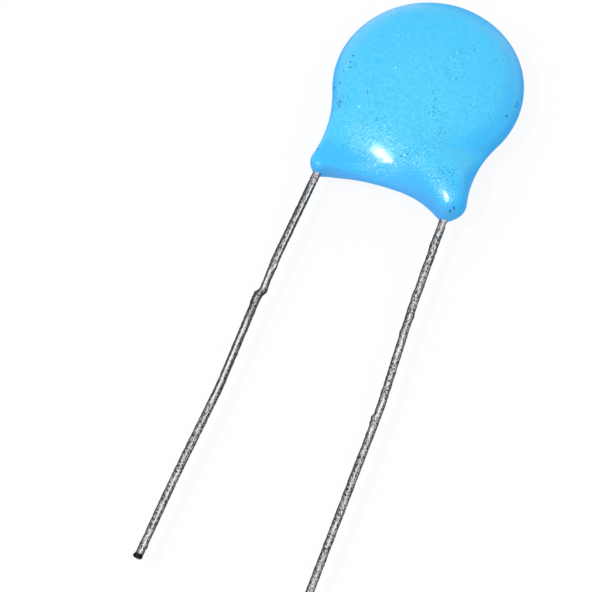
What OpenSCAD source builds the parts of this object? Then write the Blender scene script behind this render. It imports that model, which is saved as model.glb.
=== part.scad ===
// Ceramic disc capacitor: a flat ceramic disc with a silver electrode on each face, a lead soldered
// across each electrode, and a dipped epoxy coating that runs down each lead as a rounded foot.
// It lies on its rear face. The disc's axis is Z, and the leads run out towards -Y.

/* [Ceramic and electrodes] */
// Diameter of the ceramic disc
ceramic_d = 12; // [11:0.1:16]
// Thickness of the ceramic disc
ceramic_t = 1.6; // [0.8:0.1:3]
// Radius on the edges of the pressed disc
ceramic_edge_r = 0.2; // [0.05:0.05:0.3]
// Bare ceramic left around each electrode
electrode_margin = 0.6; // [0.3:0.1:1]
// Thickness of each silver electrode
electrode_t = 0.05; // [0.02:0.01:0.1]

/* [Coating] */
// Coating beyond the edge of the ceramic
rim_coat = 1.05; // [0.8:0.05:2]
// Coating over the leads, at the middle of each face
face_coat = 0.65; // [0.5:0.05:1.5]
// Diameter of the flat middle of each face
flat_d = 9.2; // [5:0.2:10]
// Radius at which each face falls away from its flat middle
shoulder_r = 4.5; // [3:0.5:12]
// Width of the rounding around the disc
rim_round = 2.0; // [1:0.1:2.6]
// Thickness of the skirt between the leads
skirt_t = 2.2; // [1.6:0.1:3]
// Width of the rounding along the lower edge of the skirt
skirt_round = 1.1; // [0.6:0.1:1.4]
// Distance from the disc's centre down to the crest of the arched lower edge
arch_drop = 8.6; // [8.2:0.1:10]
// Sideways place of the crest of the arch
arch_x = 0.5; // [-1:0.1:1]

/* [Feet] */
// Distance from the disc's centre down to the middle of each foot
foot_drop = 8.1; // [7.6:0.1:11]
// Radius of the foot on the front lead
front_foot_r = 1.5; // [1:0.05:1.7]
// Radius of the foot on the rear lead
rear_foot_r = 1.25; // [1:0.05:1.7]
// Distance that the front foot's middle lies inside its lead
front_foot_in = 0.3; // [0:0.05:0.5]
// Distance that the rear foot's middle lies inside its lead
rear_foot_in = 0.3; // [0:0.05:0.5]
// Radius of the hollow between the disc and the front foot
front_neck_r = 6; // [3:0.5:10]
// Radius of the hollow between the disc and the rear foot
rear_neck_r = 8.5; // [3:0.5:10]
// Share of each foot's radius that is rounded off
foot_round = 0.8; // [0.6:0.05:0.9]
// Height of the swelling over each lead above the skirt
ridge_h = 0.2; // [0:0.05:0.4]
// Width of the ridge over each lead's way up to its electrode
ridge_w = 3.6; // [3:0.2:5]

/* [Leads] */
// Diameter of the tinned wire
lead_d = 0.6; // [0.5:0.05:0.8]
// Distance between the leads where they leave the coating
lead_pitch = 10; // [8:0.5:12]
// Sideways shift of the pair of leads from the disc's centre
lead_shift = -0.1; // [-0.5:0.1:0.5]
// Length of each lead outside the coating
lead_length = 33.5; // [28:0.5:60]
// Outward lean of the front lead where it leaves the coating
front_splay = 3.0; // [0:0.1:5]
// Outward lean of the rear lead where it leaves the coating
rear_splay = 2.1; // [0:0.1:5]
// Radius of the bends, at the middle of the wire
bend_r = 1; // [0.8:0.1:1.5]

/* [Bends that handling has left in the front lead] */
// Straight length before the first bend
front_run_1 = 7.8; // [2:0.1:10]
// Turn of the first bend towards +X
front_turn_1 = 1.9; // [-20:0.1:20]
// Straight length before the second bend
front_run_2 = 6.8; // [2:0.1:10]
// Turn of the second bend towards +X
front_turn_2 = -3.2; // [-20:0.1:20]

/* [Bends that handling has left in the rear lead] */
// Straight length before the first bend
rear_run_1 = 7.9; // [2:0.1:10]
// Turn of the first bend towards +X, where pliers have gripped the wire
rear_turn_1 = 3.9; // [-20:0.1:20]
// Straight length before the kink
rear_run_2 = 2; // [1:0.1:4]
// Turn into the kink
rear_turn_2 = -13.2; // [-20:0.1:20]
// Straight length inside the kink
rear_run_3 = 0.8; // [0.5:0.1:2]
// Turn out of the kink
rear_turn_3 = 12; // [-20:0.1:20]
// Straight length before the next bend
rear_run_4 = 7; // [2:0.1:8]
// Turn of the next bend
rear_turn_4 = -3.2; // [-20:0.1:20]
// Straight length before the last bend
rear_run_5 = 7; // [2:0.1:8]
// Turn of the last bend
rear_turn_5 = 1.3; // [-20:0.1:20]

/* [Radii of these bends] */
// Radius of a long, soft bend
soft_bend_r = 20; // [5:1:30]
// Radius where pliers have gripped the wire
grip_bend_r = 1.5; // [0.8:0.1:5]
// Radius of a kink
kink_r = 1; // [0.8:0.1:3]

/* [Leads inside the coating] */
// Straight stretch of lead inside its foot
foot_run = 1.2; // [0.6:0.1:2]
// Inward slant of each lead across its electrode
slant = 42; // [30:1:50]
// Slope at which each lead climbs on to its electrode
climb = 35; // [25:1:45]
// Length of lead between its slant and its climb
slant_run = 0.7; // [0.2:0.1:2]
// Length of lead that lies along the electrode
seat_run = 5; // [4:0.1:7]
// Film of solder between the electrode and the lead
solder_film = 0.05; // [0.02:0.01:0.1]
// Solder over the top of the lead
solder_cap = 0.12; // [0.05:0.01:0.2]
// Radius of the solder's hollow flanks
solder_flank_r = 0.7; // [0.4:0.05:1]
// Length of the solder between its round ends
solder_run = 3; // [1:0.1:3.5]

/* [Hidden] */
$fn = 64;

FRONT = 1;
REAR = -1;

body_r = ceramic_d / 2 + rim_coat;
seat_z = ceramic_t / 2 + electrode_t + solder_film + lead_d / 2;
body_t = 2 * (seat_z + lead_d / 2 + face_coat);
flat_r = flat_d / 2;

// ---- small helpers

function unit(v) = v / norm(v);
function mix(a, b, t) = a * (1 - t) + b * t;
function polar(r, a) = r * [cos(a), sin(a)];
function bearing(v) = atan2(v[1], v[0]);
function clamp01(t) = max(0, min(1, t));
function ease(t) = clamp01(t) * clamp01(t) * (3 - 2 * clamp01(t));
// The larger of two heights, with a fillet of size k where they cross
function soft_max(a, b, k) = max(a, b) + pow(max(k - abs(a - b), 0), 2) / (4 * k);
// The point at distance r0 from c0 and r1 from c1, on the given side of the line between them
function meet(c0, r0, c1, r1, side) =
    let (d = c1 - c0, l = norm(d), u = d / l,
         a = (r0 * r0 - r1 * r1 + l * l) / (2 * l), h = sqrt(r0 * r0 - a * a))
    c0 + a * u + side * h * [-u[1], u[0]];

// ---- places shared by the coating and the leads

function foot_r(side) = side == FRONT ? front_foot_r : rear_foot_r;
function foot_in(side) = side == FRONT ? front_foot_in : rear_foot_in;
function neck_r(side) = side == FRONT ? front_neck_r : rear_neck_r;
function lead_x(side) = lead_shift + side * lead_pitch / 2;
function foot_w(side) = foot_round * foot_r(side);
function foot_c(side) = [lead_x(side) - side * foot_in(side), -foot_drop];
function exit_y(side) = -foot_drop - sqrt(pow(foot_r(side), 2) - pow(foot_in(side), 2));
function exit_p(side) = [lead_x(side), exit_y(side)];

// Inside the coating each lead turns at its elbow, climbs, and comes to rest on its electrode
climb_run = (seat_z - 2 * bend_r * (1 - cos(climb))) / sin(climb);
climb_reach = 2 * bend_r * sin(climb) + climb_run * cos(climb);
elbow_reach = bend_r * tan(slant / 2);
function splay(side) = side * (side == FRONT ? front_splay : rear_splay);
function inward(side, turn) = [-side * sin(abs(splay(side)) + turn), cos(abs(splay(side)) + turn)];
function elbow_p(side) = exit_p(side) + (foot_run + elbow_reach) * inward(side, 0);
function seat_p(side) = elbow_p(side) + (elbow_reach + slant_run + climb_reach) * inward(side, slant);

// ---- the coating: its outline seen from the front, as tangent arcs, counter-clockwise

neck_front = meet([0, 0], body_r + front_neck_r, foot_c(FRONT), front_foot_r + front_neck_r, 1);
neck_rear = meet([0, 0], body_r + rear_neck_r, foot_c(REAR), rear_foot_r + rear_neck_r, -1);
crest = [arch_x, -arch_drop];

// Radius of the arc that leaves the crest level and touches a foot
function arch_r(side) =
    let (d = foot_c(side) - crest, r = foot_r(side)) (d * d - r * r) / (2 * (r - d[1]));
function arch_c(side) = crest - [0, arch_r(side)];

function sweep(a, b, hand) = hand * ((hand * (b - a) + 720) % 360);

// Stations along an arc: [point, outward normal, width of the rounding]
function arc_stations(c, r, a, b, hand, w0, w1, count) =
    [for (i = [0:count - 1])
        let (t = i / count, n = polar(1, a + sweep(a, b, hand) * t))
        [c + r * n, hand * n, mix(w0, w1, ease(t))]];

DISC_STEPS = 48;
NECK_STEPS = 16;
FOOT_STEPS = 12;
ARCH_STEPS = 9;

stations = concat(
    arc_stations([0, 0], body_r, bearing(neck_front), bearing(neck_rear), 1,
                 rim_round, rim_round, DISC_STEPS),
    arc_stations(neck_rear, rear_neck_r, bearing(-neck_rear), bearing(foot_c(REAR) - neck_rear), -1,
                 rim_round, foot_w(REAR), NECK_STEPS),
    arc_stations(foot_c(REAR), rear_foot_r, bearing(neck_rear - foot_c(REAR)),
                 bearing(arch_c(REAR) - foot_c(REAR)), 1, foot_w(REAR), foot_w(REAR), FOOT_STEPS),
    arc_stations(arch_c(REAR), arch_r(REAR), bearing(foot_c(REAR) - arch_c(REAR)), 90, -1,
                 foot_w(REAR), skirt_round, ARCH_STEPS),
    arc_stations(arch_c(FRONT), arch_r(FRONT), 90, bearing(foot_c(FRONT) - arch_c(FRONT)), -1,
                 skirt_round, foot_w(FRONT), ARCH_STEPS),
    arc_stations(foot_c(FRONT), front_foot_r, bearing(arch_c(FRONT) - foot_c(FRONT)),
                 bearing(neck_front - foot_c(FRONT)), 1, foot_w(FRONT), foot_w(FRONT), FOOT_STEPS),
    arc_stations(neck_front, front_neck_r, bearing(foot_c(FRONT) - neck_front), bearing(-neck_front), -1,
                 foot_w(FRONT), rim_round, NECK_STEPS));

// The same stations brought in to the flat middle of a face. Each neck and each foot takes a share
// of the turn from neck to neck, and the arch takes the rest.
NECK_SHARE = 0.33;
FOOT_SHARE = 0.07;
function flat_span(from, to, count) = [for (i = [0:count - 1]) polar(flat_r, mix(from, to, i / count))];
flat_edge =
    let (rear = bearing(neck_rear), turn = sweep(rear, bearing(neck_front), 1), front = rear + turn,
         neck = NECK_SHARE * turn, foot = neck + FOOT_SHARE * turn)
    concat(flat_span(front, rear + 360, DISC_STEPS),
           flat_span(rear, rear + neck, NECK_STEPS),
           flat_span(rear + neck, rear + foot, FOOT_STEPS),
           flat_span(rear + foot, rear + turn / 2, ARCH_STEPS),
           flat_span(rear + turn / 2, front - foot, ARCH_STEPS),
           flat_span(front - foot, front - neck, FOOT_STEPS),
           flat_span(front - neck, front, NECK_STEPS));

// Height of a face over the middle plane: flat, then a falling shoulder, then the level skirt
SKIRT_BLEND = 0.6;
function plain_h(p) =
    let (fall = max(norm(p) - flat_r, 0), shoulder = body_t / 2 - fall * fall / (2 * shoulder_r))
    soft_max(shoulder, skirt_t / 2, SKIRT_BLEND);

// The ridge that a lead raises in a face: it runs over the lead's way up to its own electrode, and
// on the other face it is only a swelling of the foot
RIDGE_BLEND = 0.15;
function ridge_top(side, face, t) =
    mix(skirt_t / 2 + ridge_h, side == face ? body_t / 2 : skirt_t / 2, ease(t));
function with_ridge(h, p, side, face) =
    let (a = elbow_p(side), way = seat_p(side) - a, t = clamp01((p - a) * way / (way * way)),
         off = norm(p - a - t * way) / (ridge_w / 2), lift = max(ridge_top(side, face, t) - h, 0))
    h + lift * lift / (lift + RIDGE_BLEND) * pow(max(1 - off * off, 0), 2);
function face_h(p, face) =
    with_ridge(with_ridge(plain_h(p), p, FRONT, face), p, REAR, face);

RIM_STEPS = 6;
FACE_STEPS = 12;

// One ring of the skin: k up to RIM_STEPS climbs the rounding, and the rest cross the face
function ring(k, face) =
    [for (i = [0:len(stations) - 1])
        let (s = stations[i], over = min(k / RIM_STEPS, 1) * 90,
             p = mix(s[0] - s[1] * s[2] * (1 - cos(over)), flat_edge[i], max(k - RIM_STEPS, 0) / FACE_STEPS))
        [p[0], p[1], face * face_h(p, face) * sin(over)]];

module coat_skin() {
    n = len(stations);
    last = RIM_STEPS + FACE_STEPS;
    points = concat(ring(0, 1), [for (k = [1:last]) each ring(k, 1)], [for (k = [1:last]) each ring(k, -1)]);
    function at(k, i, face) = (k == 0 ? 0 : (face > 0 ? k : last + k) * n) + i % n;
    // Two triangles for the quad a, b, c, d, split along its shorter diagonal
    function halves(a, b, c, d) =
        norm(points[a] - points[c]) < norm(points[b] - points[d]) ? [[a, b, c], [a, c, d]]
                                                                  : [[b, c, d], [b, d, a]];
    faces = [for (k = [0:last - 1], i = [0:n - 1])
        each concat(halves(at(k, i, 1), at(k + 1, i, 1), at(k + 1, i + 1, 1), at(k, i + 1, 1)),
                    halves(at(k, i, -1), at(k, i + 1, -1), at(k + 1, i + 1, -1), at(k + 1, i, -1)))];
    polyhedron(points, concat(faces,
        [[for (i = [n - 1:-1:0]) at(last, i, 1)], [for (i = [0:n - 1]) at(last, i, -1)]]), convexity = 4);
}

// ---- formed wire: each step is [length, bend angle, plane of the bend, bend radius], and the wire
// starts along +Z. A bend is a touch fatter than the wire, and the straight lengths lap into it.

BEND_SWELL = 0.01;
LAP = 0.02;

module elbow(angle, r) {
    translate([r, 0, 0]) multmatrix([[-1, 0, 0, 0], [0, 0, 1, 0], [0, 1, 0, 0]])
        rotate_extrude(angle = angle) translate([r, 0]) circle(r = lead_d / 2 + BEND_SWELL);
}

// Places what follows a step's bend
module past_bend(step) {
    rotate([0, 0, step[2]]) translate([step[3], 0, 0]) rotate([0, step[1], 0])
        translate([-step[3], 0, 0]) rotate([0, 0, -step[2]]) children();
}

// The bend at the end of step i, and all the wire after it
module wire_after(steps, i = 0) {
    if (i + 1 < len(steps))
        translate([0, 0, steps[i][0]]) {
            rotate([0, 0, steps[i][2]]) elbow(steps[i][1], steps[i][3]);
            past_bend(steps[i]) {
                straight(-LAP, steps[i + 1][0] + (i + 2 < len(steps) ? LAP : 0));
                wire_after(steps, i + 1);
            }
        }
}

module straight(from, to) {
    translate([0, 0, from]) cylinder(h = to - from, d = lead_d);
}

// Places what lies at the start of a later step
module along_wire(steps, stop, i = 0) {
    if (i == stop) children();
    else translate([0, 0, steps[i][0]]) past_bend(steps[i]) along_wire(steps, stop, i + 1) children();
}

// ---- the leads

UP = 0;
DOWN = 180;
LEFT = 90;
RIGHT = -90;

inner_steps = [
    [foot_run, slant, RIGHT, bend_r],
    [slant_run, climb, UP, bend_r],
    [climb_run, climb, DOWN, bend_r],
    [seat_run]
];
SEAT = 3;

// The bends along each lead: [length before the bend, turn towards +X, bend radius]
front_bends = [[front_run_1, front_turn_1, soft_bend_r], [front_run_2, front_turn_2, soft_bend_r]];
rear_bends = [[rear_run_1, rear_turn_1, grip_bend_r], [rear_run_2, rear_turn_2, kink_r],
              [rear_run_3, rear_turn_3, kink_r], [rear_run_4, rear_turn_4, soft_bend_r],
              [rear_run_5, rear_turn_5, soft_bend_r]];

function used_by(bends, i = 0) =
    i == len(bends) ? 0 : bends[i][0] + bends[i][2] * abs(bends[i][1]) * PI / 180 + used_by(bends, i + 1);
function outer_steps(bends) =
    concat([for (b = bends) [b[0], abs(b[1]), b[1] > 0 ? RIGHT : LEFT, b[2]]],
           [[lead_length - used_by(bends)]]);

// The point where a lead leaves its foot, with Z along the lead into the coating and X away from
// the middle plane
module into_coating(side) {
    translate([exit_p(side)[0], exit_p(side)[1], body_t / 2]) rotate([0, 0, splay(side)])
        multmatrix([[0, side, 0, 0], [0, 0, 1, 0], [side, 0, 0, 0]]) children();
}

// The same point, with Z along the lead out of the coating, X up and Y towards -X
module out_of_coating(side) {
    translate([exit_p(side)[0], exit_p(side)[1], body_t / 2]) rotate([0, 0, splay(side)])
        multmatrix([[0, -1, 0, 0], [0, 0, -1, 0], [1, 0, 0, 0]]) children();
}

module lead(side, bends) {
    outer = outer_steps(bends);
    into_coating(side) wire_after(inner_steps);
    out_of_coating(side) {
        straight(-foot_run - LAP, outer[0][0] + (len(bends) > 0 ? LAP : 0));
        wire_after(outer);
    }
}

// ---- the disc and what is fixed to it

module rounded_disc(r, t, edge_r) {
    rotate_extrude() {
        translate([0, -t / 2]) square([r - edge_r, t]);
        translate([0, -t / 2 + edge_r]) square([r, t - 2 * edge_r]);
        for (s = [-1, 1]) translate([r - edge_r, s * (t / 2 - edge_r)]) circle(r = edge_r);
    }
}

module electrode(side) {
    translate([0, 0, body_t / 2 + side * (ceramic_t / 2 + electrode_t / 2)])
        cylinder(h = electrode_t, r = ceramic_d / 2 - electrode_margin, center = true);
}

// Solder across the lead: a cap over the wire with hollow flanks, standing on Y = 0
SOLDER_DIP = 0.05;
wire_h = solder_film + lead_d / 2;
cap_r = lead_d / 2 + solder_cap;
flank_h = solder_flank_r - SOLDER_DIP;
flank_x = sqrt(pow(solder_flank_r + cap_r, 2) - pow(flank_h - wire_h, 2));

module solder_section() {
    touch_h = wire_h + (flank_h - wire_h) * cap_r / (solder_flank_r + cap_r);
    difference() {
        union() {
            translate([0, wire_h]) circle(r = cap_r);
            translate([-flank_x, 0]) square([2 * flank_x, touch_h]);
        }
        for (s = [-1, 1]) translate([s * flank_x, flank_h]) circle(r = solder_flank_r);
        translate([-flank_x, -cap_r]) square([2 * flank_x, cap_r]);
    }
}

module solder_end() {
    rotate_extrude() intersection() {
        solder_section();
        square(flank_x + cap_r);
    }
}

module solder(side) {
    difference() {
        into_coating(side) along_wire(inner_steps, SEAT)
            translate([-wire_h, 0, seat_run - lead_d / 4 - solder_run]) rotate([0, 0, -90]) {
                linear_extrude(solder_run) solder_section();
                for (z = [0, solder_run]) translate([0, 0, z]) rotate([-90, 0, 0]) solder_end();
            }
        lead(side, []);
    }
}

// ---- nodes

module ceramic_disc() {
    color("tan") translate([0, 0, body_t / 2]) rounded_disc(ceramic_d / 2, ceramic_t, ceramic_edge_r);
}
module front_electrode() { color("gainsboro") electrode(FRONT); }
module rear_electrode() { color("gainsboro") electrode(REAR); }
module front_lead() { color("silver") lead(FRONT, front_bends); }
module rear_lead() { color("silver") lead(REAR, rear_bends); }
module front_solder() { color("lightgray") solder(FRONT); }
module rear_solder() { color("lightgray") solder(REAR); }

// The coating fills every space between its skin and what it was dipped over
module coating() {
    color([0.34, 0.79, 0.98]) difference() {
        translate([0, 0, body_t / 2]) coat_skin();
        ceramic_disc();
        front_electrode();
        rear_electrode();
        front_lead();
        rear_lead();
        front_solder();
        rear_solder();
    }
}

coating();
ceramic_disc();
front_electrode();
rear_electrode();
front_lead();
rear_lead();
front_solder();
rear_solder();
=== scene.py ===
from math import atan2, ceil, cos, exp, hypot, pi, radians, sin, sqrt, tan

import bpy
from bpy.props import FloatProperty, FloatVectorProperty, PointerProperty
from mathutils import Matrix, Vector, noise


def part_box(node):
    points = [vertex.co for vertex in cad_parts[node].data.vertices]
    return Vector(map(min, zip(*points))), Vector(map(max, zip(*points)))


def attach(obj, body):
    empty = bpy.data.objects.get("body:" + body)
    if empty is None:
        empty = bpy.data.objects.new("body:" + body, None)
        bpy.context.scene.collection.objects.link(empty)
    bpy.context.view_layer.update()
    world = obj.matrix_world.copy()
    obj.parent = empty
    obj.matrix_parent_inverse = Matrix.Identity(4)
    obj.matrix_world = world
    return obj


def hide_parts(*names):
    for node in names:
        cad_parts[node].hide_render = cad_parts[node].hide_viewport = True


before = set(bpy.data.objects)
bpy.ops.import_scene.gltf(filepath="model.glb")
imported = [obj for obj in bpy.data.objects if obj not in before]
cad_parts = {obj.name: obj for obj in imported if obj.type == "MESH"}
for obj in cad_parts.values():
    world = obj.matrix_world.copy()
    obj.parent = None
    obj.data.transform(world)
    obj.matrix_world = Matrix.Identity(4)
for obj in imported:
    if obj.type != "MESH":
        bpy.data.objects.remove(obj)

bl_info = {
    "name": "Disc Capacitor",
    "version": (1, 0, 0),
    "blender": (4, 5, 0),
    "location": "3D View > Sidebar > Capacitor",
    "description": "Dresses a dipped disc capacitor: its epoxy coat, its tinned leads and what they hide",
    "category": "Object",
}

MM = 0.001
FRONT, REAR = 1, -1
SIDES = (FRONT, REAR)
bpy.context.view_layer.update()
coat_low, coat_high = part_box("coating")


# ---- settings

def length(name, description, millimetres, low=0.0):
    return FloatProperty(name=name, description=description, default=millimetres * MM, min=low,
                         unit="LENGTH", precision=5)


def angle(name, description, in_degrees):
    return FloatProperty(name=name, description=description, default=radians(in_degrees), subtype="ANGLE")


def share(name, description, value, high=1.0):
    return FloatProperty(name=name, description=description, default=value, min=0.0, max=high)


def number(name, description, value):
    return FloatProperty(name=name, description=description, default=value, min=1.0, max=20.0)


def colour(name, description, *rgb):
    return FloatVectorProperty(name=name, description=description, default=rgb, size=3, min=0.0, max=1.0,
                               subtype="COLOR")


class CoatSettings(bpy.types.PropertyGroup):
    """The dipped epoxy coat"""
    thickness: length("Thickness", "From the flat rear face to the flat front face",
                      (coat_high.z - coat_low.z) / MM)
    rim_radius: length("Rim radius", "Radius of the coated disc", 7.05)
    flat_radius: length("Flat radius", "Radius at which a face begins to fall away", 4.6)
    flat_blend: length("Flat blend", "How gently the flat middle turns into the shoulder", 1.8)
    shoulder_radius: length("Shoulder radius", "Radius at which a face falls away", 4.4)
    rim_rounding: length("Rim rounding", "Width of the rounding around the disc", 2.0)
    front_skirt: length("Front skirt", "Height of the skirt over the middle plane on the front face", 0.71)
    rear_skirt: length("Rear skirt", "Height of the skirt over the middle plane on the rear face", 0.45)
    skirt_rounding: length("Skirt rounding", "Width of the rounding along the skirt's lower edge", 1.72)
    skirt_flow: number("Skirt flow", "How sharply the shoulder meets the skirt: more is sharper", 4.0)
    arch_drop: length("Arch drop", "From the disc's centre down to the crest of the lower edge", 8.845)
    arch_side: length("Arch side", "Sideways place of the crest of the lower edge", 0.81)
    front_drop: length("Front drop", "From the disc's centre down to the middle of the front foot", 8.47)
    rear_drop: length("Rear drop", "From the disc's centre down to the middle of the rear foot", 8.55)
    front_foot: length("Front foot", "Radius of the foot on the front lead", 1.38)
    rear_foot: length("Rear foot", "Radius of the foot on the rear lead", 0.85)
    front_inset: length("Front inset", "How far the front foot's middle lies inside its lead", 0.18)
    rear_inset: length("Rear inset", "How far the rear foot's middle lies inside its lead", 0.01)
    front_neck: length("Front neck", "Radius of the hollow above the front foot", 8.3)
    rear_neck: length("Rear neck", "Radius of the hollow above the rear foot", 10.2)
    foot_rounding: share("Foot rounding", "Share of each foot's radius that is rounded off", 0.5)
    front_ridge_drop: length("Front ridge drop", "How far the ridge on the front face falls to its toe", 0.5)
    rear_ridge_drop: length("Rear ridge drop", "How far the ridge on the rear face falls to its toe", 1.5)
    ridge_round: length("Ridge rounding", "Radius of the back of the ridge over a lead", 2.8)
    ridge_flow: number("Ridge flow", "How sharply the ridges leave the coat: more is sharper", 2.87)
    front_toe: length("Front toe", "From the front foot's middle out to the end of its ridge", 1.73)
    rear_toe: length("Rear toe", "From the rear foot's middle out to the end of its ridge", 1.26)
    toe_turn: angle("Toe turn", "Outward turn from a lead to the end of its ridge", 92.0)
    swell_height: length("Swell height", "Height of a foot on the face its lead isn't on", 0.64)
    swell_round: length("Swell rounding", "Radius of the back of that swelling", 1.9)
    meniscus: length("Meniscus", "How far the resin creeps along each lead", 0.22)
    meniscus_width: length("Meniscus width", "Sideways reach of the resin that creeps along a lead", 0.45)
    ripple: length("Ripple", "Height of the slow waves that dipping leaves", 0.012)
    peel: length("Orange peel", "Height of the fine grain in the gloss", 0.048)
    hammer: length("Hammer", "Height of the small waves in the skin", 0.0022)
    peel_size: length("Peel size", "Width of one grain of the orange peel", 0.15)
    pit_size: length("Pit size", "Radius of the pin holes", 0.08)
    face_blue: colour("Face blue", "Colour of the flat faces", 0.055, 0.61, 0.96)
    # Painted shade: the deeper blue where the coat turns away from the disc's axis, over the rim and along
    # the edges
    painted_edge_shade: colour("Edge blue", "Colour where the coat turns over an edge", 0.01, 0.49, 1.0)
    # Painted shade: a darker line along the outline, where the skin turns away
    painted_brink_shade: colour("Brink blue", "Colour along the outermost edge", 0.015, 0.34, 0.8)
    # Painted shade and painted reflection: the tone where the lower edge leans down towards -Y
    under_shade_and_reflection: colour("Under blue", "Colour where the lower edge turns away from the disc", 0.06, 0.41, 0.88)
    grain: colour("Grain", "How far the colour strays from grain to grain", 0.024, 0.055, 0.06)
    pit_blue: colour("Pit blue", "Colour inside the pin holes", 0.0, 0.17, 0.4)
    # Pale colour of the blisters, and of the painted glints in the dusty patches
    blister_and_glint_blue: colour("Blister", "Colour of the small pale blisters", 0.2, 0.85, 1.0)
    satin: share("Satin", "Roughness of the cured epoxy under its clear surface", 0.19)
    clear: share("Clear surface", "Weight of the clear surface of the resin", 0.24)
    clear_satin: share("Clear satin", "Roughness of that clear surface", 0.12)


class LeadSettings(bpy.types.PropertyGroup):
    """The tinned wire leads"""
    wire: length("Wire", "Diameter of the tinned wire", 0.6)
    pitch: length("Pitch", "Distance between the leads where they leave the coat", 10.0)
    shift: length("Shift", "Sideways shift of the pair of leads", -0.1, low=-1.0)
    front_door: length("Front door", "From the disc's centre down to where the front lead comes out", 9.79)
    rear_door: length("Rear door", "From the disc's centre down to where the rear lead comes out", 9.53)
    reach: length("Reach", "Length of each lead outside the coat", 33.4)
    front_splay: angle("Front splay", "Outward lean of the front lead", 3.0)
    rear_splay: angle("Rear splay", "Outward lean of the rear lead", 2.1)
    bend: length("Bend radius", "Radius of the bends inside the coat", 1.0)
    foot_run: length("Foot run", "Straight stretch inside each foot", 1.2)
    slant: angle("Slant", "Inward slant of each lead across its electrode", 42.0)
    slant_run: length("Slant run", "Length between the slant and the climb", 0.7)
    climb: angle("Climb", "Slope at which each lead climbs on to its electrode", 35.0)
    seat_height: length("Seat height", "From the middle plane up to a lead on its electrode", 1.2)
    seat_run: length("Seat run", "Length that lies along the electrode", 5.0)
    wear: length("Wear", "Height of the dents and burrs along the wire", 0.035)
    # Also the colour of the painted highlights and the lit band on the wire
    tin: colour("Tin", "Colour of the bright tin", 0.93, 0.95, 0.97)
    # Painted shade: the dark flanks of the wire
    painted_shading: colour("Flank", "Colour of the dull flanks", 0.035, 0.038, 0.042)
    scorch: colour("Scorch", "Tint that the hot dip leaves beside the coat", 0.85, 0.74, 0.66)
    # Painted shade: the sheared tip is painted near black
    cut: colour("Cut", "Colour of the sheared tip", 0.004, 0.004, 0.005)
    # Turn of the painted highlight line along the wire
    painted_highlight_line: angle("Crown", "Turn of the wire's bright crown from its top towards +X", 11.0)


class StageSettings(bpy.types.PropertyGroup):
    """The floor, the lamps and the camera"""
    azimuth: angle("Azimuth", "Camera's turn around the object", 20.5)
    elevation: angle("Elevation", "Camera's height above the horizon", 61.0)
    distance: length("Distance", "From the camera to the disc", 500.0)
    sight_right: length("Sight right", "From the disc right to the middle of the view", -9.715, low=-1.0)
    sight_up: length("Sight up", "From the disc up to the middle of the view", -15.32, low=-1.0)
    view_width: length("View width", "Width of what the camera sees at the disc", 43.53)
    key_azimuth: angle("Key azimuth", "Turn of the key lamp around the object", -42.0)
    key_elevation: angle("Key elevation", "Height of the key lamp above the horizon", 60.3)
    key_distance: length("Key distance", "From the disc to the key lamp", 600.0)
    key_size: length("Key size", "Width of the key lamp", 50.0)
    key_power: FloatProperty(name="Key power", description="Power of the key lamp", default=0.95, min=0.0,
                             unit="POWER")
    sky: share("Sky", "Strength of the soft light from all around", 0.81, 2.0)
    floor_white: colour("Floor white", "Colour of the floor", 0.96, 0.96, 0.96)
    floor_glow: share("Floor glow", "Share of plain white in the floor as it is seen", 0.9)


# ---- the plan that the coat and the leads share

def polar(radius, turn):
    return Vector((radius * cos(turn), radius * sin(turn)))


def bearing(v):
    return atan2(v.y, v.x)


def direction(azimuth, elevation):
    """The way out to something at a turn from -Y towards +X, and at a height above the horizon."""
    return Vector((sin(azimuth) * cos(elevation), -cos(azimuth) * cos(elevation), sin(elevation)))


def ease(t):
    t = max(0.0, min(1.0, t))
    return t * t * (3 - 2 * t)


def mix(a, b, t):
    return a * (1 - t) + b * t


def sweep(start, end, hand):
    """The turn from start to end: anticlockwise for a hand of 1, clockwise for -1."""
    return hand * ((hand * (end - start) + 4 * pi) % (2 * pi))


def meet(c0, r0, c1, r1, side):
    """The point at distance r0 from c0 and r1 from c1, on one side of the line between them."""
    way = c1 - c0
    u = way.normalized()
    a = (r0 * r0 - r1 * r1 + way.length_squared) / (2 * way.length)
    return c0 + a * u + side * sqrt(r0 * r0 - a * a) * Vector((-u.y, u.x))


# Keeps every depth under a face above nought
LEAST_DEPTH = 0.0003 * MM
# How fast a ridge rises from its toe, and how fast a foot's swelling sinks into the skirt
RIDGE_RISE, SWELL_FALL = 3, 1.5


def sided(group, name):
    """The front and the rear setting of one name."""
    return {FRONT: getattr(group, "front_" + name), REAR: getattr(group, "rear_" + name)}


def soft_least(depths, sharpness):
    """A smooth stand-in for the least of some depths, a little under it where two are alike."""
    return sum(d ** -sharpness for d in depths) ** (-1 / sharpness)


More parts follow.
